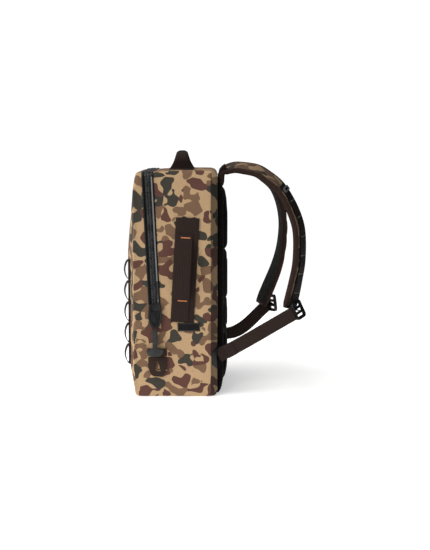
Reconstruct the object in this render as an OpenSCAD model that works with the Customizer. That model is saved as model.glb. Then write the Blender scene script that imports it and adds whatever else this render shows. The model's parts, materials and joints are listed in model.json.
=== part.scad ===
// Waterproof zip-closed fishing backpack.
// X runs from the front panel (-X) to the wearer's back (+X), Y across the pack, Z up.
// The origin is on the flat base, in the middle of the pack's width.
// "near" pieces are on the -Y side, "far" pieces on the +Y side.

/* [Pack body] */
// Height of the top panel at the back
pack_h = 486; // [470:1:500]
// Width of the pack across the wearer's back
pack_w = 310; // [296:1:320]
// How far the front panel is crowned ahead of its side seams
front_crown = 21; // [20:1:30]
// Thickness of the coated shell fabric
wall = 2.5; // [2:0.1:3]

/* [Main zip] */
// Width of the zip band over both tapes
zip_w = 25; // [22:1:28]
// How far the zip tapes stand out of the shell
zip_t = 1.6; // [1.2:0.1:2]
// Width of the closed toothed chain
chain_w = 8; // [6:0.5:9]
// How far the chain stands out of the shell
chain_t = 2.6; // [2.2:0.1:2.8]

/* [Webbing] */
// Width of the strap adjuster webbing
adjuster_w = 29; // [24:1:32]
// Width of the side carry handles
side_handle_w = 38; // [30:1:40]
// Height of the arch of a side carry handle
side_handle_rise = 17; // [15:1:20]
// Width of the lash-loop webbing on the front
daisy_w = 22; // [18:1:25]
// How far the lash loops stand off the front
daisy_rise = 8; // [7:0.5:9]
// Thickness of all the webbing
web_t = 1.8; // [1.4:0.1:2]

/* [Shoulder straps] */
// Width of a shoulder strap
strap_w = 70; // [60:1:74]
// Thickness of a shoulder strap's foam
strap_t = 11; // [9:1:12]

/* [Hidden] */

half_w = pack_w / 2;
seam_x = -84;              // seam between the front panel and the side panels
back_x = 96;               // back face of the shell
front_top_h = pack_h - 16; // the top slopes down to the front
gap = 0.4;                 // clearance between pieces that move past each other
big = 700;

// The hinge line of the front panel, where the fabric folds when the zip is open
hinge_x = seam_x - front_crown - 0.5;
hinge_z = 156;

// The zip runs along this leaning line on both sides and over the top
zip_top = [-52.7, 475];
zip_low = [-39, 197];
zip_lean = atan((zip_low.x - zip_top.x) / (zip_top.y - zip_low.y));
function zip_x(z) = zip_low.x + (zip_low.y - z) * tan(zip_lean);

// ---- Polygon helpers ----
function unit(v) = v / norm(v);
function item(list, i) = list[(i + len(list)) % len(list)];
function turned(v, a) = [v.x * cos(a) - v.y * sin(a), v.x * sin(a) + v.y * cos(a)];

// Round one corner b between a and c with radius r in n chords
function fillet(a, b, c, r, n) =
    let (u = unit(a - b),
         w = unit(c - b),
         half = acos(u * w) / 2,
         mid = b + unit(u + w) * r / sin(half),
         first = b + u * r / tan(half) - mid,
         side = cross(u, w) > 0 ? -1 : 1)
    [for (i = [0:n]) mid + turned(first, side * (180 - 2 * half) * i / n)];

function rounded(pts, radii, n = 5) = [
    for (i = [0:len(pts) - 1])
        each radii[i] > 0
            ? fillet(item(pts, i - 1), pts[i], item(pts, i + 1), radii[i], n)
            : [pts[i]]
];

// Move every edge of a counter-clockwise outline outwards by d
function edge_normal(a, b) = let (e = unit(b - a)) [e.y, -e.x];
function grown(pts, d) = [
    for (i = [0:len(pts) - 1])
        let (m = edge_normal(item(pts, i - 1), pts[i]),
             k = edge_normal(pts[i], item(pts, i + 1)))
        pts[i] + d * (m + k) / (1 + m * k)
];

// ---- The pack's form: a side, a plan and a front outline, intersected ----
side_pts = [
    [-82, 0], [back_x, 0], [back_x, pack_h], [10, pack_h], [-80, pack_h - 12], [-86, 440],
    [-90, 398], [-98, 335], [-105.4, 290], [-105.4, 145], [-100, 78], [-90, 46], [-83, 26]
];
side_radii = [9, 12, 14, 80, 9, 60, 150, 150, 150, 150, 60, 60, 60];
front_pts = [[-half_w, 0], [half_w, 0], [half_w, pack_h + 4], [-half_w, pack_h + 4]];
front_radii = [18, 18, 16, 16];

crown_r = (half_w * half_w + front_crown * front_crown) / (2 * front_crown);
crown_a = asin(half_w / crown_r);
crown_steps = 16;
function plan_pts(d) = concat(
    grown([[seam_x, -half_w], [80, -half_w], [back_x, 16 - half_w],
           [back_x, half_w - 16], [80, half_w], [seam_x, half_w]], d),
    [for (i = [1:crown_steps - 1])
        let (a = crown_a * (1 - 2 * i / crown_steps))
        [seam_x - front_crown + crown_r - (crown_r + d) * cos(a), (crown_r + d) * sin(a)]]
);

module along_y(w) {
    translate([0, w / 2, 0])
        rotate([90, 0, 0])
            linear_extrude(w) children();
}

module along_x(x0, x1) {
    translate([x0, 0, 0])
        rotate([90, 0, 90])
            linear_extrude(x1 - x0) children();
}

module pack_form(d) {
    intersection() {
        along_y(big)
            polygon(rounded(grown(side_pts, d), [for (r = side_radii) r + d]));
        translate([0, 0, -20])
            linear_extrude(big) polygon(plan_pts(d));
        along_x(-big / 2, big / 2)
            polygon(rounded(grown(front_pts, d), [for (r = front_radii) r + d], 6));
    }
}

module skin(d0, d1) {
    difference() {
        pack_form(d1);
        pack_form(d0);
    }
}

// Everything ahead of the zip's centre line and above the hinge, less a margin m
module lid_region(m) {
    along_y(big)
        polygon([[-big, hinge_z + m], [zip_x(hinge_z) - m, hinge_z + m],
                 [zip_x(big) - m, big], [-big, big]]);
}

// A band beside the zip's centre line, from offset a to offset b, above height z
module zip_band(a, b, z) {
    along_y(big)
        polygon([[zip_x(z) + a, z], [zip_x(z) + b, z],
                 [zip_x(big) + b, big], [zip_x(big) + a, big]]);
}

// Place children drawn flat in X and Z on the near or far side, standing outwards
module on_side(side, y) {
    mirror([0, side == "far" ? 1 : 0, 0])
        translate([0, -y, 0])
            rotate([90, 0, 0]) children();
}

// ---- Shell and main zip ----
module main_shell() {
    color("#c39f78")
        difference() {
            skin(-wall, 0);
            lid_region(0);
        }
}

module front_shell() {
    color("#b58f68")
        intersection() {
            skin(-wall, 0);
            lid_region(gap);
        }
}

dock_z = 202;
module zip_tape(a, b) {
    color("#131514")
        intersection() {
            skin(0, zip_t);
            zip_band(a, b, dock_z);
        }
}

module zip_chain(a, b) {
    color("#26282a")
        intersection() {
            skin(0, chain_t);
            zip_band(a, b, dock_z);
        }
}

module zip_tape_rear() zip_tape(chain_w / 2, zip_w / 2);
module zip_tape_front() zip_tape(-zip_w / 2, -chain_w / 2);
module zip_chain_rear() zip_chain(gap / 2, chain_w / 2);
module zip_chain_front() zip_chain(-chain_w / 2, -gap / 2 - 0.1);

// Moulded dock that seals the slider at the near end of the zip
dock_low = 152;
dock_mid = 173;
dock_x = zip_x(dock_mid);
module dock_outline(half, low, high) {
    translate([dock_x, 0])
        polygon(rounded([[-half + 2.5, high], [-half, dock_mid], [-half + 6, low],
                         [half - 6, low], [half, dock_mid], [half - 2.5, high]],
                        [0, 14, 7, 7, 14, 0]));
}

// Room for the front panel's side, which swings under the dock
module dock_relief() {
    translate([dock_x - 59, dock_low - 10, -1])
        cube([60, 80, 1 + gap]);
}

module zip_dock() {
    color("#101211")
        on_side("near", half_w)
            difference() {
                linear_extrude(6) dock_outline(15, dock_low, dock_z - 0.3);
                translate([0, 0, 2.4])
                    linear_extrude(6) dock_outline(11, dock_low + 5, dock_z + 6);
                dock_relief();
            }
}

module zip_end_far() {
    color("#101211")
        on_side("far", half_w)
            difference() {
                linear_extrude(3.4) dock_outline(15, dock_low, dock_z - 0.3);
                dock_relief();
            }
}

slider_z = 176;
slider_y = half_w + 3.1;  // clears the chain
module zip_slider() {
    color("#34373a")
        on_side("near", slider_y)
            translate([zip_x(slider_z), slider_z])
                rotate(zip_lean)
                    difference() {
                        union() {
                            linear_extrude(3)
                                polygon(rounded([[-8, -12], [8, -12], [9.5, 11], [-9.5, 11]],
                                                [3, 3, 4, 4]));
                            translate([-2, -11, 2.9]) cube([4, 18, 5]);
                        }
                        translate([-3, -8.5, 3.4]) cube([6, 13, 2.4]);
                    }
}

pull_pivot_z = 170;
pull_pivot_y = half_w + 7.7;
pull_y = half_w + 7.6;
pull_x = zip_x(pull_pivot_z);
module pull_cord() {
    color("#1b1c1d")
        translate([pull_x, -pull_pivot_y, pull_pivot_z]) {
            rotate([0, 90, 0]) cylinder(r = 0.9, h = 10.2, center = true, $fn = 24);
            for (s = [-1, 1])
                translate([s * 4.2 - 0.9, -0.9, -22]) cube([1.8, 1.8, 22]);
            translate([-5.1, -0.9, -23.5]) cube([10.2, 1.8, 1.8]);
        }
}

// Moulded grip shaped like an anchor, with its arms turned up
module zip_pull() {
    color("#3a3b3c")
        on_side("near", pull_y)
            translate([pull_x, 0])
                difference() {
                    linear_extrude(6.4)
                        union() {
                            polygon(rounded([[-5, 104], [5, 104], [6, 149], [-6, 149]],
                                            [0, 0, 4, 4]));
                            polygon(rounded([[-18, 100], [-11, 91], [11, 91], [18, 100],
                                             [17, 108], [9, 104], [4, 112], [-4, 112],
                                             [-9, 104], [-17, 108]],
                                            [6, 12, 12, 6, 3, 5, 3, 3, 5, 3]));
                        }
                    translate([-5.4, 146.2, -1]) cube([10.8, 8, 2.3]);
                }
}

// ---- Finger loop below the zip's dock ----
loop_x = -33;
loop_fold_z = 88;
module finger_loop_patch() {
    color("#6b503d")
        on_side("near", half_w)
            translate([loop_x - 20, loop_fold_z + 2.4])
                cube([40, 16, web_t]);
}

module finger_loop() {
    color("#6b503d")
        on_side("near", half_w + gap)
            translate([loop_x, 0])
                linear_extrude(2 * web_t)
                    difference() {
                        polygon(rounded([[-20, loop_fold_z], [-20, 66], [-13, 46], [13, 46],
                                         [20, 66], [20, loop_fold_z]],
                                        [0, 12, 12, 12, 12, 0]));
                        polygon([[-6.5, 57], [6.5, 57], [1.5, 80], [-1.5, 80]]);
                    }
}

// ---- Side handles ----
base_w = 50;
base_z0 = 163;
base_z1 = 386;
tack_z0 = 213;
tack_z1 = 341;
handle_shift = -6;  // the handle is sewn off the middle of its base strip
grip_z0 = 240;
grip_z1 = 314;
handle_lean = 3.2;
function handle_x(z) = 20 + (z - base_z0) * tan(handle_lean);
function arch(z) =
    let (t = (z - tack_z0) / (tack_z1 - tack_z0))
    web_t + side_handle_rise * (1 - pow(2 * t - 1, 2));

// A strip of webbing that follows the arch from height z0 to z1
module arch_strip(side, z0, z1) {
    steps = 8;
    zs = [for (i = [0:steps]) z0 + (z1 - z0) * i / steps];
    mirror([0, side == "far" ? 1 : 0, 0])
        translate([handle_x(base_z0), -half_w, base_z0])
            rotate([0, handle_lean, 0])
                translate([handle_shift - side_handle_w / 2, 0, -base_z0])
                    rotate([90, 0, 90])
                        linear_extrude(side_handle_w)
                            polygon(concat([for (z = zs) [-arch(z), z]],
                                           [for (i = [steps:-1:0])
                                               [-arch(zs[i]) - web_t, zs[i]]]));
}

module side_strip(side, w, z0, z1, y0, t, shift = 0) {
    on_side(side, half_w + y0)
        translate([handle_x(base_z0), base_z0])
            rotate(-handle_lean)
                translate([shift - w / 2, z0 - base_z0])
                    cube([w, z1 - z0, t]);
}

module side_handle_base(side) {
    color("#3a2b25") {
        side_strip(side, base_w, base_z0, base_z1, 0, web_t);
        side_strip(side, side_handle_w, base_z0 + 2, tack_z0, web_t, web_t, handle_shift);
        side_strip(side, side_handle_w, tack_z1, tack_z1 + 6, web_t, web_t, handle_shift);
        arch_strip(side, tack_z0, grip_z0 - 1);
        arch_strip(side, grip_z1 + 1, tack_z1);
    }
}
module side_handle_base_near() side_handle_base("near");
module side_handle_base_far() side_handle_base("far");

module side_handle(side) {
    color("#40302a") arch_strip(side, grip_z0, grip_z1);
}
module side_handle_near() side_handle("near");
module side_handle_far() side_handle("far");

module handle_bar_tacks() {
    color("#c8824a")
        for (side = ["near", "far"])
            for (z = [tack_z0 - 5, tack_z1 + 1.5])
                side_strip(side, 20, z, z + 2.4, 2 * web_t, 0.6, handle_shift + 4);
}

module side_label() {
    color("#141414")
        on_side("near", half_w)
            translate([10, base_z0 - 19.5]) cube([48, 18, 1.2]);
}

// ---- Top haul handle ----
haul_x = 17;
haul_pivot_z = pack_h + 13;
haul_half = 48;
module top_handle_anchors() {
    color("#3a2b25") {
        for (s = [-1, 1])
            translate([haul_x, s * (haul_half + 3.6), 0])
                along_y(2 * web_t)
                    polygon([[-27, pack_h], [27, pack_h], [15, pack_h + 20],
                             [-15, pack_h + 20]]);
        for (s = [-1, 1])
            translate([haul_x - 27, s > 0 ? haul_half + 5.4 : -haul_half - 25.4, pack_h])
                cube([54, 20, web_t]);
    }
}

module top_handle_webbing() {
    color("#40302a")
        for (s = [-1, 1])
            translate([haul_x, s * (haul_half - 0.4), 0])
                along_y(2 * web_t)
                    union() {
                        translate([0, haul_pivot_z]) circle(11, $fn = 48);
                        translate([-11, haul_pivot_z]) square([22, 27]);
                    }
}

module top_handle_grip() {
    color("#2f2420")
        translate([haul_x, 0, haul_pivot_z + 16])
            rotate([90, 0, 0])
                cylinder(r = 11, h = 2 * haul_half - 5.2, center = true, $fn = 48);
}

// ---- Lash loops on the front ----
daisy_y = 105;
daisy_pitch = 46;
daisy_a = asin(daisy_y / crown_r);
daisy_x = seam_x - front_crown + crown_r * (1 - cos(daisy_a));

// Height off the backing strip along one loop, t from 0 to 1
function loop_off(t) = daisy_rise * pow(sin(180 * t), 0.6);

module lash_loop(z) {
    steps = 10;
    ts = [for (i = [0:steps]) i / steps];
    length = daisy_pitch - 6;
    along_y(daisy_w)
        polygon(concat(
            [for (t = ts) [-web_t - loop_off(t), z + length * t]],
            [for (t = ts) [-2 * web_t - loop_off(1 - t), z + length * (1 - t)]]));
}

module daisy(side, low, count) {
    s = side == "far" ? 1 : -1;
    color("#3a2b25")
        translate([daisy_x, s * daisy_y, 0])
            rotate(-s * daisy_a) {
                translate([-web_t - 0.3, -daisy_w / 2, low + 1])
                    cube([web_t + 0.3, daisy_w, count * daisy_pitch - 2]);
                for (k = [0:count - 1])
                    lash_loop(low + 3 + k * daisy_pitch);
            }
}
module daisy_lower_near() daisy("near", hinge_z - 2 * daisy_pitch, 2);
module daisy_lower_far() daisy("far", hinge_z - 2 * daisy_pitch, 2);
module daisy_upper_near() daisy("near", hinge_z + 0.5, 3);
module daisy_upper_far() daisy("far", hinge_z + 0.5, 3);

// ---- Back panel ----
pad_half = 112;
pad_t = 17;
module back_panel() {
    color("#15120f")
        translate([back_x, -pad_half - 8, 14]) cube([3, 2 * pad_half + 16, 438]);
}

module back_pad(z0, z1, half) {
    color("#1c1815")
        translate([back_x + 3, 0, 0])
            rotate([90, 0, 90])
                linear_extrude(pad_t)
                    polygon(rounded([[-half, z0], [half, z0], [half, z1], [-half, z1]],
                                    [14, 14, 14, 14]));
}
module back_pad_top() {
    // thins out towards the shoulders
    intersection() {
        back_pad(309, 452, pad_half - 6);
        along_y(big)
            polygon([[back_x, 300], [back_x + 3 + pad_t, 300], [back_x + 3 + pad_t, 388],
                     [back_x + 17, 425], [back_x + 10, 460], [back_x, 460]]);
    }
}
module back_pad_mid() back_pad(201, 306, pad_half);
module back_pad_low() back_pad(136, 198, pad_half);

module lumbar_pad() {
    color("#1c1815")
        along_y(2 * pad_half - 8)
            polygon([[back_x + 3, 18], [back_x + 8, 18], [back_x + 14, 34],
                     [back_x + 18, 52], [back_x + 3 + pad_t, 76],
                     [back_x + 3 + pad_t, 133], [back_x + 3, 133]]);
}

module back_frame_sheet() {
    color("#8a8f94")
        translate([back_x - wall - 2.2, -118, 24]) cube([2, 236, 410]);
}

module floor_pad() {
    color("#2a2a2a")
        translate([-66, -132, wall + 0.2]) cube([146, 264, 5]);
}

module strap_yoke() {
    color("#2b211c")
        translate([back_x, 0, 0])
            rotate([90, 0, 90])
                linear_extrude(1.4)
                    polygon(rounded([[-108, 452.4], [108, 452.4], [102, 474], [-102, 474]],
                                    [8, 8, 10, 10]));
}

// ---- Shoulder straps ----
// Centre line of each strap, from its root over the shoulder and down to its end
near_route = [
    [113, -56, 485], [132, -58, 490], [151, -62, 489], [182, -68, 483], [205, -74, 469],
    [229, -82, 449], [250, -92, 416], [266, -102, 378], [272, -110, 343],
    [271, -116, 290], [264, -121, 250], [255, -125, 210], [249, -127, 190]
];
far_route = [
    [113, 56, 479], [132, 58, 482], [151, 62, 481], [182, 68, 474], [203, 74, 460],
    [224, 82, 440], [238, 92, 410], [246, 102, 375], [248, 110, 340],
    [244, 116, 295], [234, 121, 252], [213, 125, 198], [198, 127, 163]
];
// How far the strap's outer face has turned outwards at each point of the route
near_roll = [9, 12, 14, 16, 17, 17, 18, 19, 20, 21, 23, 28, 32];
far_roll = [3, 4, 5, 5, 4, 4, 4, 4, 5, 8, 13, 19, 24];
strap_sub = 3;

function catmull(a, b, c, d, t) =
    0.5 * (2 * b + (c - a) * t + (2 * a - 5 * b + 4 * c - d) * t * t
           + (3 * b - a - 3 * c + d) * t * t * t);
function at(list, i) = list[min(max(i, 0), len(list) - 1)];
function smooth(list, n) = [
    for (i = [0:(len(list) - 1) * n])
        let (k = min(floor(i / n), len(list) - 2))
        catmull(at(list, k - 1), at(list, k), at(list, k + 1), at(list, k + 2), i / n - k)
];

function strap_route(side) = smooth(side == "far" ? far_route : near_route, strap_sub);
function strap_rolls(side) = smooth(side == "far" ? far_roll : near_roll, strap_sub);

// One ring across the strap: w is half its width, a and b its inner and outer face
function strap_ring(p, t, roll, side, w, a, b) =
    let (dir = unit([t.x, t.z]),
         out0 = [-dir.y, 0, dir.x],
         out = cos(roll) * out0 + sin(roll) * [0, side, 0],
         across = cos(roll) * [0, side, 0] - sin(roll) * out0,
         soft = min(3, (b - a) / 3))
    [p + out * a - across * (w - soft), p + out * (a + soft) - across * w,
     p + out * (b - soft) - across * w, p + out * b - across * (w - soft),
     p + out * b + across * (w - soft), p + out * (b - soft) + across * w,
     p + out * (a + soft) + across * w, p + out * a + across * (w - soft)];

module strap_sweep(side, w, a, b, from, to) {
    route = strap_route(side);
    rolls = strap_rolls(side);
    s = side == "far" ? 1 : -1;
    first = from * strap_sub;
    last = to * strap_sub;
    count = last - first + 1;
    // the strap narrows to two thirds over its last stretch
    function half(i) = w * (1 - 0.34 * pow(max(0, (i - 27) / 9), 2));
    rings = [for (i = [first:last])
        strap_ring(route[i], at(route, i + 1) - at(route, i - 1), rolls[i], s,
                   half(i), a, b)];
    sides = [for (k = [0:count - 2])
        for (j = [0:7])
            let (n = (j + 1) % 8)
            for (f = [[k * 8 + j, k * 8 + n, k * 8 + 8 + n],
                      [k * 8 + j, k * 8 + 8 + n, k * 8 + 8 + j]])
                s > 0 ? f : [f[2], f[1], f[0]]];
    cap0 = [for (j = [1:6]) s > 0 ? [0, j + 1, j] : [0, j, j + 1]];
    end = (count - 1) * 8;
    cap1 = [for (j = [1:6]) s > 0 ? [end, end + j, end + j + 1] : [end, end + j + 1, end + j]];
    polyhedron([for (r = rings) each r], concat(sides, cap0, cap1), convexity = 6);
}

module shoulder_pad(side) {
    color("#8a6a4c") strap_sweep(side, strap_w / 2, -strap_t / 2, strap_t / 2, 1, 12);
}
module shoulder_pad_near() shoulder_pad("near");
module shoulder_pad_far() shoulder_pad("far");

module strap_lining(side) {
    color("#57534f")
        strap_sweep(side, strap_w / 2 - 4, -strap_t / 2 - 2.3, -strap_t / 2 - 0.3, 1, 12);
}
module strap_lining_near() strap_lining("near");
module strap_lining_far() strap_lining("far");

module strap_webbing(side) {
    color("#362b27")
        strap_sweep(side, 19, strap_t / 2 + 0.02, strap_t / 2 + 0.02 + web_t, 5, 12);
}
module strap_webbing_near() strap_webbing("near");
module strap_webbing_far() strap_webbing("far");

// Fixed roots of the straps, sewn under the yoke
module strap_roots() {
    color("#2b211c")
        for (s = [-1, 1])
            translate([0, s * 56, 0])
                along_y(strap_w - 4)
                    polygon([[back_x + 1.6, 455], [back_x + 1.6, 474], [back_x + 4, 484],
                             [back_x + 10, 491], [back_x + 17, 496], [back_x + 19, 486],
                             [back_x + 14, 480], [back_x + 12, 474], [back_x + 12, 455]]);
}

// ---- Strap adjusters ----
anchor = [102, 90];
adjuster_y = 138;
// Middle of each ladder lock, its Y counted outwards
near_lock = [268, 143, 188];
far_lock = [226, 131, 166];
function lock_at(side) = side == "far" ? far_lock : near_lock;
function adjuster_end(side) = [lock_at(side).x, lock_at(side).z];
function adjuster_len(side) = norm(adjuster_end(side) - anchor);
function adjuster_angle(side) =
    let (d = adjuster_end(side) - anchor) atan2(d.y, d.x);

// How far the far adjuster, which is slack, hangs below the line between its ends
function bow(side, t) = (side == "far" ? 105 : 8) * t * pow(1 - t, 2);
// How far an adjuster leans away from the pack, per length
adjuster_lean = 0.085;

// Draw along the adjuster: local X from the anchor up to the ladder lock
module on_adjuster(side, y) {
    on_side(side, y)
        translate(anchor)
            rotate(adjuster_angle(side))
                multmatrix([[1, 0, 0, 0], [0, 1, 0, 0], [adjuster_lean, 0, 1, 0]])
                    children();
}

// Webbing from x0 along the adjuster to x1 short of the lock's middle
module adjuster_band(side, x0, x1, t) {
    steps = 16;
    length = adjuster_len(side);
    xs = [for (i = [0:steps]) x0 + (length - x1 - x0) * i / steps];
    function mid(x) = -bow(side, x / length);
    linear_extrude(t)
        polygon(concat([for (x = xs) [x, mid(x) - adjuster_w / 2]],
                       [for (i = [steps:-1:0]) [xs[i], mid(xs[i]) + adjuster_w / 2]]));
}

// The webbing ends this far short of the middle of the lock
lock_room = 17;
module adjuster(side) {
    color("#2d2824")
        on_adjuster(side, adjuster_y) adjuster_band(side, 7.5, lock_room, web_t);
}
module adjuster_near() adjuster("near");
module adjuster_far() adjuster("far");

module adjuster_tail(side) {
    color("#332d29")
        on_adjuster(side, adjuster_y + web_t + 2) {
            adjuster_band(side, 12, lock_room + 4, web_t);
            adjuster_band(side, 12, adjuster_len(side) - 32, 2 * web_t);
        }
}
module adjuster_tail_near() adjuster_tail("near");
module adjuster_tail_far() adjuster_tail("far");

// Ladder lock, hung off the strap's end and turned with it
lock_l = 40;
lock_w = 34;
lock_t = 7;
function lock_roll(side) = side == "far" ? 26 : 40;
function lock_tilt(side) = side == "far" ? -6 : -23;
module ladder_lock(side) {
    color("#101010")
        mirror([0, side == "far" ? 0 : 1, 0])
            translate(lock_at(side))
                rotate([0, lock_tilt(side), 0])
                    rotate([0, 0, lock_roll(side)])
                        difference() {
                            along_x(-lock_t / 2, lock_t / 2)
                                polygon(rounded([[-lock_w / 2, -lock_l / 2],
                                                 [lock_w / 2, -lock_l / 2],
                                                 [lock_w / 2 - 2, lock_l / 2],
                                                 [2 - lock_w / 2, lock_l / 2]],
                                                [8, 8, 6, 6]));
                            for (z = [-14, -3, 8])
                                translate([-lock_t, 5 - lock_w / 2, z])
                                    cube([2 * lock_t, lock_w - 10, 6]);
                        }
}
module ladder_lock_near() ladder_lock("near");
module ladder_lock_far() ladder_lock("far");

// Anchor wing welded to the pack's lower back corner, with its webbing stub
module lower_wing(side) {
    color("#161413")
        on_side(side, adjuster_y - 4.2)
            linear_extrude(4)
                polygon(rounded([[back_x + 0.2, 58], [back_x + 5, 62], [back_x + 7, 78],
                                 [back_x + 7, 98], [back_x + 5, 108], [back_x + 0.2, 112]],
                                [0, 4, 4, 4, 4, 0]));
}
module lower_wing_near() lower_wing("near");
module lower_wing_far() lower_wing("far");

// Small clip on the strap webbing that carries the chest strap's end
clip_at = 16;
module sternum_clip(side) {
    route = strap_route(side);
    rolls = strap_rolls(side);
    s = side == "far" ? 1 : -1;
    p = route[clip_at];
    t = route[clip_at + 1] - route[clip_at - 1];
    color("#5c5f61")
        translate(p)
            rotate([0, -atan2(t.z, t.x), 0])
                rotate([s * -rolls[clip_at], 0, 0])
                    translate([-5.5, -20, strap_t / 2 + web_t + 1.2])
                        difference() {
                            cube([11, 40, 3.4]);
                            translate([3, 7, -1]) cube([5, 26, 8]);
                        }
}
module sternum_clip_near() sternum_clip("near");
module sternum_clip_far() sternum_clip("far");

// ---- Inside pocket on the back wall ----
pocket_x = back_x - wall - 2.4;
module pocket_panel() {
    color("#55585a")
        translate([pocket_x - 1.6, -100, 200]) cube([1.4, 200, 150]);
}

module pocket_zip() {
    color("#17181a")
        translate([pocket_x - 1.6, -100, 350.2]) cube([1.4, 200, 22]);
}

module pocket_slider() {
    color("#3f4346")
        translate([pocket_x - 2.2, -92, 361])
            rotate([0, -90, 0])
                union() {
                    linear_extrude(2.4)
                        polygon(rounded([[-5, -6], [5, -7], [5, 7], [-5, 6]], [2, 2, 2, 2]));
                    translate([-24, -3.5, 2.5]) cube([26, 7, 1.6]);
                    translate([-2, -2, 0]) cube([4, 4, 3]);
                }
}

main_shell();
zip_tape_rear();
zip_chain_rear();
zip_dock();
zip_end_far();
back_frame_sheet();
back_panel();
back_pad_top();
back_pad_mid();
back_pad_low();
lumbar_pad();
strap_yoke();
strap_roots();
lower_wing_near();
lower_wing_far();
side_handle_base_near();
side_handle_base_far();
handle_bar_tacks();
side_label();
top_handle_anchors();
finger_loop_patch();
pocket_panel();
pocket_zip();
floor_pad();
daisy_lower_near();
daisy_lower_far();
front_shell();
zip_tape_front();
zip_chain_front();
daisy_upper_near();
daisy_upper_far();
shoulder_pad_near();
strap_lining_near();
strap_webbing_near();
ladder_lock_near();
adjuster_near();
adjuster_tail_near();
sternum_clip_near();
shoulder_pad_far();
strap_lining_far();
strap_webbing_far();
ladder_lock_far();
adjuster_far();
adjuster_tail_far();
sternum_clip_far();
zip_slider();
pull_cord();
zip_pull();
finger_loop();
top_handle_webbing();
top_handle_grip();
side_handle_near();
side_handle_far();
pocket_slider();
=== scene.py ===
import json
from math import asin, copysign, cos, exp, pi, radians, sin, tan, tau

import bmesh
import bpy
import numpy as np
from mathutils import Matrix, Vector, noise
from mathutils.bvhtree import BVHTree


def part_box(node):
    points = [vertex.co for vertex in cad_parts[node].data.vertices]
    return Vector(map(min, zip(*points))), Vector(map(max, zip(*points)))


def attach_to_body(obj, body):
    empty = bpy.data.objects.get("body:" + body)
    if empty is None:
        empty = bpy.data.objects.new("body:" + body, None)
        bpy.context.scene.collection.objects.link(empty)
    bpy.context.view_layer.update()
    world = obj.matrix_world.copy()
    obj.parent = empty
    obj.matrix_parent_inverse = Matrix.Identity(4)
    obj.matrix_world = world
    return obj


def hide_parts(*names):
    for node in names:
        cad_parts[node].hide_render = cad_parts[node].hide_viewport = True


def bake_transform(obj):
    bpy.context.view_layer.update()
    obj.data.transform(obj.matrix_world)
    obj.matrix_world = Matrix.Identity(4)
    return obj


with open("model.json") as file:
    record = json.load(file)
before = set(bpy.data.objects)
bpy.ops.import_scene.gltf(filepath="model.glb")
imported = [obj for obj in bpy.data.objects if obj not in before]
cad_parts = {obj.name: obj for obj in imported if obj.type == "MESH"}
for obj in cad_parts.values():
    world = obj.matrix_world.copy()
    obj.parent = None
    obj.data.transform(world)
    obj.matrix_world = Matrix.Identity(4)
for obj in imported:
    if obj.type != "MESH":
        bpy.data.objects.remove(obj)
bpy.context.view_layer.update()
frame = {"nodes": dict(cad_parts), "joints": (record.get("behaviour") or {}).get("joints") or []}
scene = bpy.context.scene
NODES = frame["nodes"]
MM = 0.001


# ---- Camera and light ----
CAMERA_PLACE = (0.090, -2.655, 0.548)
CAMERA_PITCH = radians(83.53)
LENS, SENSOR = 77.5, 36                             # mm
DIM, BRIGHT = 0.02, 0.78                            # the studio's dark and bright side
BRIGHT_WAY = (-0.85, -0.35, 0.40)
BACKDROP = 1.05
SUN, SUN_WAY, SUN_ANGLE = 1.8, (0.45, 0.38, -1.0), radians(46)
STRIP, STRIP_PLACE, STRIP_TARGET = 5, Vector((-1.19, -1.12, 0.4)), Vector((0, -0.15, 0.3))


def make_camera():
    data = bpy.data.cameras.new("camera")
    data.sensor_width = SENSOR
    data.lens = LENS
    data.clip_start = 0.05
    camera = bpy.data.objects.new("camera", data)
    camera.location = CAMERA_PLACE
    camera.rotation_euler = (CAMERA_PITCH, 0, 0)
    scene.collection.objects.link(camera)
    scene.camera = camera


def add_light(name, kind, power, way, place=(0, 0, 0)):
    """A light that shines along way."""
    data = bpy.data.lights.new(name, kind)
    data.energy = power
    light = bpy.data.objects.new(name, data)
    light.location = place
    light.rotation_euler = Vector(way).to_track_quat("-Z", "Y").to_euler()
    scene.collection.objects.link(light)
    return data


def make_light():
    """A white studio that is bright to the left and dim to the right, a broad sun from the
    upper left, and a strip light on the left for the highlights on the zip."""
    world = bpy.data.worlds.new("studio")
    world.use_nodes = True
    tree = world.node_tree
    back = tree.nodes["Background"]
    back.inputs["Color"].default_value = (1, 1, 1, 1)
    way, facing, fill, seen, level = [tree.nodes.new(f"ShaderNode{kind}") for kind in (
        "TexCoord", "VectorMath", "MapRange", "LightPath", "MapRange")]
    facing.operation = "DOT_PRODUCT"
    facing.inputs[1].default_value = BRIGHT_WAY
    for socket, value in (("From Min", -0.6), ("From Max", 0.8), ("To Min", DIM),
                          ("To Max", BRIGHT)):
        fill.inputs[socket].default_value = value
    level.inputs["To Max"].default_value = BACKDROP
    for output, socket in ((way.outputs["Generated"], facing.inputs[0]),
                           (facing.outputs["Value"], fill.inputs["Value"]),
                           (fill.outputs["Result"], level.inputs["To Min"]),
                           (seen.outputs["Is Camera Ray"], level.inputs["Value"]),
                           (level.outputs["Result"], back.inputs["Strength"])):
        tree.links.new(output, socket)
    scene.world = world
    sun = add_light("sun", "SUN", SUN, SUN_WAY)
    sun.angle = SUN_ANGLE
    sun.color = (1, 0.985, 0.96)
    strip = add_light("strip", "AREA", STRIP, STRIP_TARGET - STRIP_PLACE, STRIP_PLACE)
    strip.shape = "RECTANGLE"
    strip.size, strip.size_y = 0.22, 0.9
    scene.view_settings.view_transform = "Standard"


make_camera()
make_light()


# ---- Materials ----
def rgb(r, g, b):
    """An sRGB colour from 0 to 255, as the linear colour that a shader takes."""
    parts = [c / 255 for c in (r, g, b)]
    return (*[c / 12.92 if c <= 0.04045 else ((c + 0.055) / 1.055) ** 2.4 for c in parts], 1)


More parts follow.
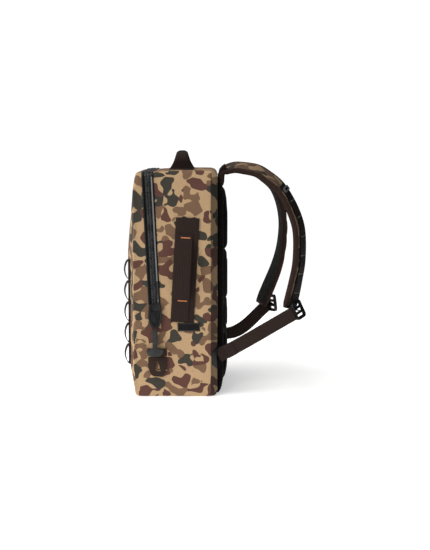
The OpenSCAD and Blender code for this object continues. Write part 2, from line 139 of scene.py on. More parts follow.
class Shader:
    """A procedural material, built up node by node."""

    def __init__(self, name, roughness=0.6, metallic=0.0, sheen=0.0, coat=0.0, gloss=0.5):
        self.material = bpy.data.materials.new(name)
        self.material.use_nodes = True
        self.tree = self.material.node_tree
        self.tree.nodes.clear()
        out = self.node("OutputMaterial")
        self.bsdf = self.node("BsdfPrincipled")
        self.tree.links.new(self.bsdf.outputs["BSDF"], out.inputs["Surface"])
        self.shade(Roughness=roughness, Metallic=metallic, Sheen_Weight=sheen,
                   Coat_Weight=coat, Specular_IOR_Level=gloss)

    def node(self, kind, **props):
        made = self.tree.nodes.new(f"ShaderNode{kind}")
        for key, value in props.items():
            setattr(made, key, value)
        return made

    def feed(self, socket, value):
        if isinstance(value, bpy.types.NodeSocket):
            self.tree.links.new(value, socket)
        else:
            socket.default_value = value

    def run(self, kind, output, inputs, **props):
        """The output of a new node whose inputs are fed by name or number."""
        made = self.node(kind, **props)
        for socket, value in inputs.items():
            self.feed(made.inputs[socket], value)
        return made.outputs[output]

    def shade(self, **sockets):
        for name, value in sockets.items():
            self.feed(self.bsdf.inputs[name.replace("_", " ")], value)

    def math(self, operation, *values):
        return self.run("Math", 0, dict(enumerate(values)), operation=operation)

    def add(self, a, b):
        return self.math("ADD", a, b)

    def minus(self, a, b):
        return self.math("SUBTRACT", a, b)

    def times(self, a, b):
        return self.math("MULTIPLY", a, b)

    def vector(self, operation, a, b):
        second = "Scale" if operation == "SCALE" else 1
        return self.run("VectorMath", 0, {0: a, second: b}, operation=operation)

    def mix(self, t, a, b):
        return self.run("Mix", 2, {0: t, 6: a, 7: b}, data_type="RGBA")

    def fade(self, *values):
        """Takes x from its low and high ends to 0 and 1, or to two values that follow them."""
        return self.run("MapRange", 0, dict(enumerate(values)),
                        interpolation_type="SMOOTHSTEP")

    def noise(self, place, scale, detail=2.0, output="Fac"):
        return self.run("TexNoise", output, {"Vector": place, "Scale": scale, "Detail": detail})

    def voronoi(self, place, feature="F1", output="Distance"):
        return self.run("TexVoronoi", output, {"Vector": place, "Scale": PATCHES},
                        feature=feature)

    def rest(self):
        """Where each point was at rest, in metres."""
        return self.run("Attribute", "Vector", {}, attribute_name="rest")

    def parts(self, vector):
        made = self.node("SeparateXYZ")
        self.feed(made.inputs[0], vector)
        return made.outputs

    def weave(self):
        """Metres across and along the cloth."""
        return self.parts(self.run("UVMap", 0, {}, uv_map="weave"))[:2]

    def wave(self, x, pitch, shift=0.0):
        """A cosine from 0 to 1."""
        turned = self.add(self.times(x, 2 * pi / pitch), shift)
        return self.add(self.times(self.math("COSINE", turned), 0.5), 0.5)

    def bump(self, height, distance):
        self.shade(Normal=self.run("Bump", 0, {"Strength": 1.0, "Distance": distance,
                                               "Height": height}))

    def crossed(self, pitch):
        """A plain weave: threads that pass over and under each other."""
        u, v = self.weave()
        a, b = self.wave(u, pitch), self.wave(v, pitch)
        return self.add(self.times(a, b), self.times(self.minus(1.0, a), self.minus(1.0, b)))


TAN, BROWN = rgb(186, 154, 116), rgb(116, 86, 64)
MAROON, SPRUCE = rgb(85, 47, 41), rgb(40, 41, 37)
PATCHES = 34                    # patches of the print in a metre
MARGIN = 0.050                  # how much tan is kept between two patches
ROUND_AT, ROUND_RATE = 0.68, 0.78
LOBES, LOBE_DEPTH = 52, 0.66    # how many in a metre, and how far they reach


def camo(name, dim=1.0):
    """Printed canvas: lobed patches of three colours, apart from each other, on tan. dim darkens
    the whole print toward near-black, as painted shade for the parts that lie in shade."""
    s = Shader(name, roughness=0.78, sheen=0.03, gloss=0.18)
    place = s.rest()
    swirl = s.vector("SUBTRACT", s.noise(place, 30, 0.4, "Color"), (0.5, 0.5, 0.5))
    bent = s.vector("ADD", place, s.vector("SCALE", swirl, 0.026))
    stretched = s.vector("MULTIPLY", bent, (0.86, 1.0, 1.06))
    kept = s.minus(s.voronoi(stretched, "DISTANCE_TO_EDGE"), MARGIN)
    rounded = s.times(s.minus(ROUND_AT, s.voronoi(stretched)), ROUND_RATE)
    inside = s.math("SMOOTH_MIN", kept, rounded, 0.2)
    lobes = s.times(s.minus(s.noise(place, LOBES, 0.0), 0.5), LOBE_DEPTH)
    patch = s.fade(s.add(inside, lobes), -0.006, 0.006)
    pick = s.parts(s.voronoi(stretched, output="Color"))[0]
    ink = s.mix(s.math("GREATER_THAN", pick, 0.36), BROWN, MAROON)
    ink = s.mix(s.math("GREATER_THAN", pick, 0.66), ink, SPRUCE)
    colour = s.mix(patch, TAN, ink)
    thread = s.crossed(0.0011)
    worn = s.noise(place, 420, 3)
    colour = s.mix(s.fade(worn, 0.3, 0.75, 0.0, 0.14), colour, rgb(40, 34, 28))
    colour = s.mix(s.times(thread, 0.07), colour, rgb(226, 206, 176))
    # Painted shade: below 1, dim mixes the whole print toward near-black.
    if dim < 1:
        colour = s.mix(1 - dim, colour, rgb(16, 13, 11))
    s.shade(Base_Color=colour, Roughness=s.fade(worn, 0.3, 0.7, 0.7, 0.85))
    s.bump(s.add(thread, s.times(s.noise(place, 45, 3), 3.0)), 0.00022)
    return s.material


def webbing(name, dark, light, rib=0.0034, sheen=0.04):
    """Ribbed polyester webbing, ribs along its length. Its raised ribs and picks are painted
    lighter as a highlight, over a random tone.
    """
    s = Shader(name, roughness=0.85, sheen=sheen, gloss=0.12)
    u, v = s.weave()
    ribs = s.math("POWER", s.wave(u, rib), 0.6)
    picks = s.wave(s.add(v, s.times(s.wave(u, rib), 0.0006)), 0.0013)
    fuzz = s.noise(s.rest(), 260, 3)
    height = s.add(s.times(ribs, 0.75), s.times(picks, 0.25))
    # Partly painted highlight: the raised ribs and picks are lighter; fuzz adds a random tone.
    tone = s.add(s.times(height, 0.55), s.times(fuzz, 0.5))
    s.shade(Base_Color=s.mix(tone, dark, light), Roughness=s.fade(fuzz, 0.3, 0.7, 0.72, 0.9))
    s.bump(height, 0.0005)
    return s.material


def moulded(name, dark, light, roughness, grain=900, coat=0.0, metallic=0.0, depth=0.00008,
            gloss=0.35):
    """Moulded plastic, rubber or painted metal with a fine grain and rubbed patches."""
    s = Shader(name, roughness=roughness, metallic=metallic, coat=coat, gloss=gloss)
    place = s.rest()
    fine = s.noise(place, grain, 2)
    rubbed = s.noise(place, 70, 4)
    s.shade(Base_Color=s.mix(s.fade(rubbed, 0.35, 0.75), dark, light),
            Roughness=s.fade(rubbed, 0.3, 0.75, roughness - 0.08, roughness + 0.12))
    s.bump(fine, depth)
    return s.material


def coated(name, dark, light, roughness, pitch=0.0009, coat=0.0, gloss=0.15):
    """Coated fabric: a close weave under a film."""
    s = Shader(name, roughness=roughness, coat=coat, gloss=gloss)
    place = s.rest()
    thread = s.crossed(pitch)
    marks = s.noise(place, 95, 4)
    tone = s.add(s.times(thread, 0.3), s.times(marks, 0.7))
    s.shade(Base_Color=s.mix(tone, dark, light),
            Roughness=s.fade(marks, 0.3, 0.7, roughness - 0.1, roughness + 0.14))
    s.bump(s.add(thread, s.times(marks, 2.0)), 0.0001)
    return s.material


def air_mesh(name, dark, light, pitch=0.0042):
    """Spacer mesh: staggered round pits in a knitted face. The pits are painted darker as shade.
    """
    s = Shader(name, roughness=0.9, sheen=0.02, gloss=0.08)
    u, v = s.weave()
    first, second = [s.times(s.wave(u, pitch, shift), s.wave(v, pitch * 1.2, shift))
                     for shift in (0.0, pi)]
    pit = s.fade(s.add(first, second), 0.45, 0.85)
    knit = s.noise(s.rest(), 700, 2)
    # Painted shade: the pits are darker than the knitted face around them.
    tone = s.add(s.times(s.minus(1.0, pit), 0.7), s.times(knit, 0.4))
    s.shade(Base_Color=s.mix(tone, dark, light))
    s.bump(s.minus(knit, s.times(pit, 2.0)), 0.0005)
    return s.material


def thread(name, dark, light):
    """Twisted sewing thread."""
    s = Shader(name, roughness=0.6, sheen=0.3)
    twist = s.noise(s.rest(), 1400, 2)
    s.shade(Base_Color=s.mix(twist, dark, light))
    s.bump(twist, 0.0001)
    return s.material


CANVAS = camo("camo_canvas")
# Partly painted shade: the straps' canvas is a darkened copy of the body's. It is darker partly
# as the straps' own colour and partly for the shade on their faces that turn from the light.
STRAP_CANVAS_DARK_AND_SHADED = camo("camo_strap", 0.55)
# Painted shade: the back gusset's canvas is a darkened copy of the body's, for the shade on the
# back corner that faces away from the light.
GUSSET_PAINTED_SHADE_CANVAS = camo("camo_gusset", 0.42)
LINING = coated("pack_lining", rgb(58, 56, 51), rgb(80, 78, 72), 0.6)
WEBBING = webbing("brown_webbing", rgb(20, 14, 12), rgb(54, 41, 36))
DARK_WEBBING = webbing("dark_webbing", rgb(8, 6, 5), rgb(25, 18, 15), sheen=0.0)
BINDING = webbing("binding_tape", rgb(27, 17, 14), rgb(58, 39, 32), rib=0.0018)
LOOP_WEBBING = webbing("loop_webbing", rgb(28, 20, 17), rgb(62, 47, 39), rib=0.0026)
ZIP_TAPE = coated("zip_tape_film", rgb(4, 4, 4), rgb(9, 9, 9), 0.42, coat=0.55, gloss=0.05)
ZIP_TEETH = moulded("zip_teeth", rgb(24, 25, 26), rgb(66, 68, 70), 0.30, gloss=0.6)
RUBBER = moulded("black_rubber", rgb(11, 12, 12), rgb(24, 25, 25), 0.42, 700)
PLASTIC = moulded("black_plastic", rgb(7, 7, 8), rgb(16, 16, 17), 0.36, 1200)
GREY_PLASTIC = moulded("grey_plastic", rgb(62, 64, 66), rgb(96, 98, 100), 0.45, 1200)
METAL = moulded("slider_metal", rgb(10, 11, 11), rgb(30, 31, 32), 0.34, 500, metallic=0.4)
PULL = moulded("pull_rubber", rgb(26, 27, 28), rgb(46, 47, 48), 0.5, 800)
PAD_CLOTH = air_mesh("pad_mesh", rgb(3, 2, 2), rgb(17, 14, 13))
BACK_CLOTH = coated("back_cloth", rgb(6, 5, 4), rgb(16, 13, 12), 0.8, gloss=0.08)
STRAP_LINING = air_mesh("strap_mesh", rgb(17, 18, 18), rgb(44, 45, 43), 0.0034)
LABEL_CLOTH = coated("label_cloth", rgb(9, 9, 10), rgb(22, 22, 23), 0.66, 0.0006)
COPPER_THREAD = thread("copper_thread", rgb(170, 98, 46), rgb(224, 146, 84))
BROWN_THREAD = thread("brown_thread", rgb(17, 12, 10), rgb(44, 32, 27))
GREY_THREAD = thread("grey_thread", rgb(96, 94, 90), rgb(150, 148, 142))
FOAM = moulded("floor_foam", rgb(24, 24, 25), rgb(40, 40, 41), 0.85, 400, depth=0.0003)
SHEET = moulded("frame_sheet", rgb(80, 83, 86), rgb(104, 107, 110), 0.4, 1500)
POCKET = air_mesh("pocket_mesh", rgb(14, 14, 14), rgb(44, 43, 41), 0.003)


# ---- Mesh helpers ----
def coordinates(mesh):
    co = np.zeros(len(mesh.vertices) * 3, np.float32)
    mesh.vertices.foreach_get("co", co)
    return co.reshape(-1, 3)


def corners(mesh):
    """The point at each corner of each face."""
    found = np.zeros(len(mesh.loops), int)
    mesh.loops.foreach_get("vertex_index", found)
    return found


def move_points(mesh, places):
    mesh.vertices.foreach_set("co", places.ravel())
    mesh.update()


def box_uv(mesh):
    """Metres across and along each face, from the two axes that it faces least."""
    layer = mesh.uv_layers.new(name="weave")
    normals = np.array([p.normal for p in mesh.polygons], float).reshape(-1, 3)
    totals = [p.loop_total for p in mesh.polygons]
    facing = np.repeat(np.abs(normals).argmax(1), totals)
    pairs = np.array([[1, 2], [0, 2], [0, 1]])[facing]
    uv = np.take_along_axis(coordinates(mesh)[corners(mesh)], pairs, axis=1)
    layer.data.foreach_set("uv", uv.astype(np.float32).ravel())


def dress(obj, material, uv=None, sharp=40):
    """Gives a finished mesh its cloth coordinates, its points' places at rest, its shading
    and its material."""
    mesh = obj.data
    if uv is None:
        box_uv(mesh)
    else:
        layer = mesh.uv_layers.new(name="weave")
        layer.data.foreach_set("uv", np.array(uv, np.float32)[corners(mesh)].ravel())
    rest = mesh.attributes.new("rest", "FLOAT_VECTOR", "POINT")
    rest.data.foreach_set("vector", coordinates(mesh).ravel())
    mesh.shade_smooth()
    if sharp:
        mesh.set_sharp_from_angle(angle=radians(sharp))
    mesh.materials.clear()
    mesh.materials.append(material)
    return obj


def link(name, mesh):
    obj = bpy.data.objects.new(name, mesh)
    scene.collection.objects.link(obj)
    return obj


def from_bmesh(name, bm):
    """An object from a working mesh, which is then freed."""
    mesh = bpy.data.meshes.new(name)
    bm.to_mesh(mesh)
    bm.free()
    return link(name, mesh)


def new_object(name, verts, faces):
    mesh = bpy.data.meshes.new(name)
    mesh.from_pydata([tuple(map(float, v)) for v in verts], [], faces)
    mesh.update()
    return link(name, mesh)


def closed_object(name, verts, faces):
    """An object whose faces are turned to face outwards."""
    obj = new_object(name, verts, faces)
    bm = bmesh.new()
    bm.from_mesh(obj.data)
    bmesh.ops.recalc_face_normals(bm, faces=bm.faces)
    bm.to_mesh(obj.data)
    bm.free()
    return obj


def remesh(obj, size):
    voxel = obj.modifiers.new("voxel", "REMESH")
    voxel.mode = "VOXEL"
    voxel.voxel_size = size


def finished(obj):
    """The object's mesh with its modifiers applied."""
    bpy.context.view_layer.update()
    return bpy.data.meshes.new_from_object(
        obj.evaluated_get(bpy.context.evaluated_depsgraph_get()))


def tube(rings, n):
    """Faces between closed rings of n points each."""
    return [(i * n + j, i * n + (j + 1) % n, (i + 1) * n + (j + 1) % n, (i + 1) * n + j)
            for i in range(rings - 1) for j in range(n)]


def signed_power(x, power):
    return copysign(abs(x) ** power, x)


def oval(count, width, height, across_power, out_power):
    """A ring between an ellipse and a rectangle: the lower the powers, the squarer."""
    turns = [tau * k / count for k in range(count)]
    return [(signed_power(cos(a), across_power) * width,
             signed_power(sin(a), out_power) * height) for a in turns]


def attach(obj, to, *stands_for):
    """to is a body that the object follows, or (a, b, start, end), two bodies and a stretch
    between them, which are not used: the object's transform is then only baked into its mesh.
    """
    if isinstance(to, str):
        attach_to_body(obj, to)
    else:
        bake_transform(obj)
    if stands_for:
        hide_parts(*stands_for)
    return obj


def node_mesh(name):
    """A working copy of a CAD node's mesh, its points merged."""
    bm = bmesh.new()
    bm.from_mesh(NODES[name].data)
    bmesh.ops.remove_doubles(bm, verts=bm.verts, dist=1e-5)
    return bm


def soften(name, node, material, to, bevel, steps):
    """A piece with a CAD node's shape, its hard edges rounded as a moulding's are. The bevel
    is in mm."""
    bm = node_mesh(node)
    bmesh.ops.dissolve_limit(bm, angle_limit=radians(2), verts=bm.verts, edges=bm.edges)
    bm.normal_update()
    edges = [e for e in bm.edges
             if len(e.link_faces) == 2 and e.calc_face_angle(0) > radians(28)]
    bmesh.ops.bevel(bm, geom=edges, offset=bevel * MM, segments=steps, profile=0.5,
                    affect="EDGES", clamp_overlap=True)
    bmesh.ops.triangulate(bm, faces=[f for f in bm.faces if len(f.verts) > 4])
    return attach(dress(from_bmesh(name, bm), material, sharp=35), to, node)


def lengths(points):
    steps = np.linalg.norm(np.diff(points, axis=0), axis=1)
    return np.concatenate([[0], np.cumsum(steps)])


def ringed(name, verts, n, material, uv):
    """A closed tube through rings of n points each."""
    last = len(verts) - n
    faces = tube(len(verts) // n, n) + [tuple(range(n)), tuple(last + j for j in range(n))]
    return dress(closed_object(name, verts, faces), material, uv, 50)


def sweep(name, frames, section, material):
    """Closed rings along a path. A frame is (place, across, out); section is the ring's
    points as (across, out) in metres, or gives them for frame i."""
    verts, uv = [], []
    along = lengths(np.array([f[0] for f in frames]))
    for i, (place, across, out) in enumerate(frames):
        ring = section(i) if callable(section) else section
        for a, o in ring:
            verts.append(place + across * a + out * o)
            uv.append((a, along[i]))
    return ringed(name, verts, len(ring), material, uv)


def lay(name, frames, section, material, to, *stands_for):
    return attach(sweep(name, frames, section, material), to, *stands_for)


def band_ring(w, t, low=0.0, cross=4):
    """The section of a webbing: w wide, t thick from low, its edges rounded."""
    edge = min(0.5 * MM, t * 0.45)
    half, high, cut = w / 2, low + t, edge * 0.3
    spread = [-half + edge + (w - 2 * edge) * k / cross for k in range(cross + 1)]
    return ([(a, low) for a in spread]
            + [(half - cut, low + cut), (half, low + edge), (half, high - edge),
               (half - cut, high - cut)]
            + [(a, high) for a in reversed(spread)]
            + [(-half + cut, high - cut), (-half, high - edge), (-half, low + edge),
               (-half + cut, low + cut)])


def bar_tack(centre, along, up, length, width, rise=0.5 * MM):
    """A block of tight parallel stitches, as (verts, faces)."""
    centre, along, up = Vector(centre), Vector(along).normalized(), Vector(up).normalized()
    across = along.cross(up).normalized()
    pitch = 0.55 * MM
    count = max(2, round(length / pitch))
    stitch = tube(3, 4) + [(0, 3, 2, 1), (8, 9, 10, 11)]
    verts, faces = [], []
    for k in range(count):
        mid = centre + along * (length * ((k + 0.5) / count - 0.5))
        lean = along * pitch * 0.5
        base = len(verts)
        for end in (-1, 0, 1):
            spine = mid + across * (end * width / 2) + lean * end
            bulge = rise * (1.0 if end == 0 else 0.35)
            for c, s in ((-1, 0), (-0.5, 0.8), (0.5, 0.8), (1, 0)):
                verts.append(spine + along * (c * pitch * 0.5) + up * (s * bulge))
        faces += [tuple(base + j for j in face) for face in stitch]
    return verts, faces


def stitch_run(points, ups, length, space, radius):
    """Lockstitches laid along a line on a surface, as (verts, faces)."""
    points = np.array([tuple(p) for p in points], float)
    ups = np.array([tuple(u) for u in ups], float)
    along = lengths(points)

    def between(s, rows):
        return np.array([np.interp(s, along, rows[:, k]) for k in range(3)])

    sides, steps = 6, ((0, -0.5), (0.3, 0.7), (0.7, 0.7), (1, -0.5))
    last = sides * (len(steps) - 1)
    pattern = tube(len(steps), sides)
    pattern += [tuple(reversed(range(sides))), tuple(last + k for k in range(sides))]
    verts, faces = [], []
    at = space
    while at + length < along[-1]:
        base = len(verts)
        for t, rise in steps:
            s = at + t * length
            p, up = between(s, points), between(s, ups)
            tangent = between(s + 1e-4, points) - p
            tangent = tangent / max(np.linalg.norm(tangent), 1e-9)
            side = np.cross(tangent, up)
            side /= max(np.linalg.norm(side), 1e-9)
            for k in range(sides):
                a = tau * k / sides
                verts.append(p + up * (rise * radius + sin(a) * radius)
                             + side * cos(a) * radius)
        faces += [tuple(base + k for k in face) for face in pattern]
        at += length + space
    return verts, faces


def gather(name, parts, material, to, *stands_for):
    """One piece from several (verts, faces)."""
    verts, faces = [], []
    for v, f in parts:
        base = len(verts)
        verts.extend(v)
        faces.extend(tuple(i + base for i in face) for face in f)
    return attach(dress(closed_object(name, verts, faces), material), to, *stands_for)


# ---- The pack's skins ----
SIDES = {"near": -1, "far": 1}
shell_low, shell_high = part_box("main_shell")
SIDE_Y, BACK_X, TOP_Z = -shell_low.y, shell_high.x, shell_high.z
HINGE_Z = next(j for j in frame["joints"] if j["name"] == "lid_hinge")["pos_m"][2]
SEAM_X = -0.084                 # where the front's crown starts
GUSSET_SHADE_X, GUSSET_SHADE_DROP = 0.0805, 0.015       # where the back gusset's canvas is painted darker as shade, and how far below the top this starts
ZIP_LOW, ZIP_TOP = Vector((-0.039, 0, 0.197)), Vector((-0.0527, 0, 0.475))
ZIP_UP = (ZIP_TOP - ZIP_LOW).normalized()
ZIP_FORWARD = Vector((-ZIP_UP.z, 0, ZIP_UP.x))      # towards the front panel
ZIP_LEAN = tan(radians(2.82))


def zip_x(z):
    return ZIP_LOW.x + (ZIP_LOW.z - z) * ZIP_LEAN


# Where the cloth stands fuller than the shell: the top's front edge and the base's edges
FULLER = [(-0.0775, 0.142, 0.4825), (-0.0795, 0.142, 0.4780), (-0.0740, 0.149, 0.0010),
          (0.0780, 0.149, 0.0010), (-0.0760, 0.146, 0.0010), (0.0880, 0.140, 0.0010)]


def pack_form():
    """The stuffed bag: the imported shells' outer form with softened edges and slack cloth."""
    bm = bmesh.new()
    for name in ("main_shell", "front_shell"):
        for v in NODES[name].data.vertices:
            bm.verts.new(v.co)
    for side in (-1, 1):
        for x, y, z in FULLER:
            bm.verts.new((x, side * y, z))
    hull = bmesh.ops.convex_hull(bm, input=bm.verts)
    spare = {v for v in hull["geom_interior"] + hull["geom_unused"]
             if isinstance(v, bmesh.types.BMVert)}
    bmesh.ops.delete(bm, geom=list(spare), context="VERTS")
    obj = from_bmesh("form", bm)
    remesh(obj, 3 * MM)
    smooth = obj.modifiers.new("smooth", "SMOOTH")
    smooth.factor = 0.5
    smooth.iterations = 3
    mesh = finished(obj)
    bpy.data.objects.remove(obj)
    slacken(mesh)
    return mesh


def slacken(mesh):
    """Moves the skin in a little, more in some places than in others, as filled cloth lies.
    The base stays flat."""
    co = coordinates(mesh)
    moved = np.empty_like(co)
    for i, (p, v) in enumerate(zip(co, mesh.vertices)):
        q = Vector(p)
        broad = noise.noise(q * 9.0 + Vector((3.1, 0.4, 7.7)))
        mid = noise.noise(q * 26.0)
        pucker = noise.noise(Vector((q.x * 18, q.y * 18, q.z * 70)))
        by_zip = exp(-((q.x - zip_x(q.z)) / 0.022) ** 2) if abs(q.y) > 0.1 else 0.0
        depth = 0.9 + 0.9 * broad + 0.45 * mid + by_zip * (0.5 + 0.7 * pucker)
        depth *= min(1.0, max(0.0, q.z / 0.02))
        moved[i] = p - np.array(v.normal, float) * depth * MM
    move_points(mesh, moved)


def split_skin(name, form, keep, wall=2.2 * MM):
    """The part of the form that keep(face centre) picks, as cloth with a thickness. Its
    outer shading runs on across the cut."""
    bm = bmesh.new()
    bm.from_mesh(form)
    geometry = bm.verts[:] + bm.edges[:] + bm.faces[:]
    bmesh.ops.bisect_plane(bm, geom=geometry, plane_co=ZIP_LOW, plane_no=ZIP_FORWARD,
                           dist=1e-6)
    bm.normal_update()
    normals = [v.normal.copy() for v in bm.verts]
    bm.verts.index_update()
    faces = [[v.index for v in f.verts] for f in bm.faces if keep(f.calc_center_median())]
    places = [v.co.copy() for v in bm.verts]
    bm.free()
    used = sorted({i for f in faces for i in f})
    order = {v: k for k, v in enumerate(used)}
    faces = [[order[i] for i in f] for f in faces]
    n = len(used)
    outer = [places[i] for i in used]
    bent = [normals[i] for i in used]
    inner = [p - m * wall for p, m in zip(outer, bent)]
    sides = {(a, b): True for f in faces for a, b in zip(f, f[1:] + f[:1])}
    rims = [(b, a, a + n, b + n) for a, b in sides if (b, a) not in sides]
    all_faces = faces + [[i + n for i in reversed(f)] for f in faces] + rims
    obj = new_object(name, outer + inner, all_faces)
    mesh = obj.data
    dress(obj, CANVAS, sharp=0)
    mesh.materials.append(LINING)
    # Slot 2: the canvas painted darker as shade, for the back gusset.
    mesh.materials.append(GUSSET_PAINTED_SHADE_CANVAS)
    kind = np.zeros(len(all_faces), int)
    kind[len(faces):] = 1
    # Faces on the back gusset, below the top, take the canvas painted darker as shade.
    for i, f in enumerate(faces):
        middle = sum((outer[k] for k in f), Vector()) / len(f)
        if middle.x > GUSSET_SHADE_X and middle.z < TOP_Z - GUSSET_SHADE_DROP:
            kind[i] = 2
    mesh.polygons.foreach_set("material_index", kind)
    mesh.normals_split_custom_set_from_vertices(bent + [-m for m in bent])
    return obj


def ahead_of_zip(p):
    return (p - ZIP_LOW).dot(ZIP_FORWARD) > 0


form = pack_form()
form_tree = BVHTree.FromPolygons([v.co for v in form.vertices],
                                 [list(p.vertices) for p in form.polygons])

FOLD_X, FOLD_BELOW, FOLD_ABOVE = -0.1, 0.006, 0.010
front_skin = split_skin("front_skin", form, ahead_of_zip)
rear_skin = split_skin("rear_skin", form, lambda p: not ahead_of_zip(p))
attach(front_skin, ("pack", "lid", (FOLD_X, 0, HINGE_Z - FOLD_BELOW),
                    (FOLD_X, 0, HINGE_Z + FOLD_ABOVE)), "front_shell")
attach(rear_skin, "pack", "main_shell")


def skin_point(origin, direction, lift=0.0):
    """Where a ray from inside the pack meets its outer skin, lifted off it."""
    place, normal, _, _ = form_tree.ray_cast(Vector(origin), Vector(direction))
    return place + normal * lift, normal


# ---- Main zip ----
ZIP_START_Z = 0.202
CORNER_R = 0.032
CORNER_Y = SIDE_Y - CORNER_R
zip_summit = skin_point((zip_x(0.44), 0, 0.3), ZIP_UP)[0]
CORNER_U = (zip_summit - ZIP_LOW).dot(ZIP_UP) - CORNER_R
STEP = 1.5 * MM


def zip_stations():
    """Rays in the zip's own plane, up the near side, over the top and down the far side."""
    rise = np.arange((ZIP_START_Z - ZIP_LOW.z) / ZIP_UP.z, CORNER_U, STEP)
    turn = np.arange(0, pi / 2, STEP / CORNER_R)
    level = np.arange(-CORNER_Y, CORNER_Y, STEP)
    return ([(-CORNER_Y, u, -1.0, 0.0) for u in rise]
            + [(-CORNER_Y, CORNER_U, -cos(a), sin(a)) for a in turn]
            + [(y, CORNER_U, 0.0, 1.0) for y in level]
            + [(CORNER_Y, CORNER_U, cos(a), sin(a)) for a in turn[::-1]]
            + [(CORNER_Y, u, 1.0, 0.0) for u in rise[::-1]])


OFFSETS = np.array([-13.0, -10, -7, -5, -2.5, 0, 2.5, 5, 7, 10, 13.0]) * MM


def zip_grid():
    """The skin's points and normals at each station, across the band at each offset."""
    places = np.zeros((len(rays), len(OFFSETS), 3))
    normals = np.zeros_like(places)
    for i, (y, u, dy, du) in enumerate(rays):
        for j, d in enumerate(OFFSETS):
            origin = ZIP_LOW + ZIP_UP * u - ZIP_FORWARD * d + Vector((0, y, 0))
            p, n = skin_point(origin, ZIP_UP * du + Vector((0, dy, 0)))
            places[i, j], normals[i, j] = p, n
    for grid in (places, normals):
        for _ in range(3):
            grid[1:-1] = (grid[:-2] + 2 * grid[1:-1] + grid[2:]) / 4
    normals /= np.linalg.norm(normals, axis=2)[..., None]
    return places, normals


rays = zip_stations()
zip_places, zip_normals = zip_grid()
zip_along = lengths(zip_places[:, len(OFFSETS) // 2])


def on_zip(d, s, lift):
    """A point on the band: d across (positive to the rear), s along, lift off the skin."""
    i = np.interp(s, zip_along, np.arange(len(rays)))
    k = min(int(i), len(rays) - 2)
    t = i - k
    j = np.interp(d, OFFSETS, np.arange(len(OFFSETS)))
    m = min(int(j), len(OFFSETS) - 2)
    r = j - m

    def at(grid):
        low = grid[k, m] * (1 - r) + grid[k, m + 1] * r
        high = grid[k + 1, m] * (1 - r) + grid[k + 1, m + 1] * r
        return low * (1 - t) + high * t

    return at(zip_places) + at(zip_normals) * lift


def zip_strip(name, sign, to, node):
    """Half of the zip's tape, along the whole zip."""
    stations = zip_along[::2]
    around = [(sign * d * MM, lift * MM) for d, lift in TAPE]
    verts = [on_zip(d, s, lift) for s in stations for d, lift in around]
    uv = [(d, s) for s in stations for d, lift in around]
    attach(ringed(name, verts, len(TAPE), ZIP_TAPE, uv), to, node)


# The tape's section, as (across, lift) in mm, and a tooth's rows, as (across, back, lift)
TAPE = [(0.04, -0.3), (12.7, -0.3), (12.9, 0.4), (12.5, 1.5), (11.8, 2.1), (10.9, 2.35),
        (10.1, 2.3), (9.7, 2.15), (7.0, 0.95), (6.6, 0.8), (5.9, 0.9), (0.04, 0.9)]
TOOTH = [(0.35, 0.0, 2.2), (1.3, -0.5, 2.75), (3.0, -1.35, 2.75), (4.6, -2.15, 2.3),
         (5.3, -2.5, 1.3)]
TOOTH_PITCH = 3.0 * MM


def zip_teeth(name, sign, to, node):
    """Slanted teeth that meet in a row of arrowheads along the zip's centre."""
    last = (len(TOOTH) - 1) * 4
    faces = tube(len(TOOTH), 4) + [(0, 1, 2, 3), (last + 3, last + 2, last + 1, last)]
    parts = []
    for k in range(1, int(zip_along[-1] / TOOTH_PITCH)):
        apex = k * TOOTH_PITCH + (0.0 if sign > 0 else TOOTH_PITCH * 0.5)
        verts = []
        for d, back, lift in TOOTH:
            for ds, h in ((-0.85, 0.6), (-0.6, lift), (0.6, lift), (0.85, 0.6)):
                s = min(max(apex + (back + ds) * MM, 0), zip_along[-1])
                verts.append(on_zip(sign * d * MM, s, h * MM))
        parts.append((verts, faces))
    gather(name, parts, ZIP_TEETH, to, node)


HALVES = (("rear", 1, "pack"), ("front", -1, "lid"))
for half, sign, to in HALVES:
    zip_strip(f"zip_tape_{half}_film", sign, to, f"zip_tape_{half}")
for half, sign, to in HALVES:
    zip_teeth(f"zip_teeth_{half}", sign, to, f"zip_chain_{half}")

for row in (("zip_dock_moulding", "zip_dock", RUBBER, "pack", 0.9, 3),
            ("zip_end_far_moulding", "zip_end_far", RUBBER, "pack", 0.9, 3),
            ("slider_body", "zip_slider", METAL, "slider", 0.7, 3),
            ("pull_link", "pull_cord", METAL, "pull", 0.4, 2),
            ("pull_grip", "zip_pull", PULL, "pull", 1.3, 3),
            ("finger_loop_webbing", "finger_loop", LOOP_WEBBING, "finger_loop", 0.7, 2),
            ("finger_loop_tab", "finger_loop_patch", LOOP_WEBBING, "pack", 0.4, 2)):
    soften(*row)


# ---- Seams of the shell ----
def seam(name, side, start, target, z0, z1, to):
    """A welded seam down the skin with a row of stitches beside it."""
    frames, dots, ways = [], [], []
    aim = Vector((target[0] - start[0], side * (target[1] - start[1]), 0)).normalized()
    for z in np.linspace(z0, z1, 90):
        p, n = skin_point((start[0], side * start[1], z), aim)
        frames.append((p, Vector((0, 0, 1)).cross(n).normalized() * side, n))
        q, m = skin_point((start[0] + STITCH_GAP, side * start[1], z), aim)
        dots.append(q + m * 0.2 * MM)
        ways.append(m)
    ring = [(1.5 * MM * cos(a), 0.9 * MM * sin(a) - 0.1 * MM)
            for a in np.linspace(0, tau, 12, endpoint=False)]
    lay(name, frames, ring, CANVAS, to)
    gather(f"{name}_stitches", [stitch_run(dots, ways, 3.4 * MM, 2.3 * MM, 0.26 * MM)],
           BROWN_THREAD, to)


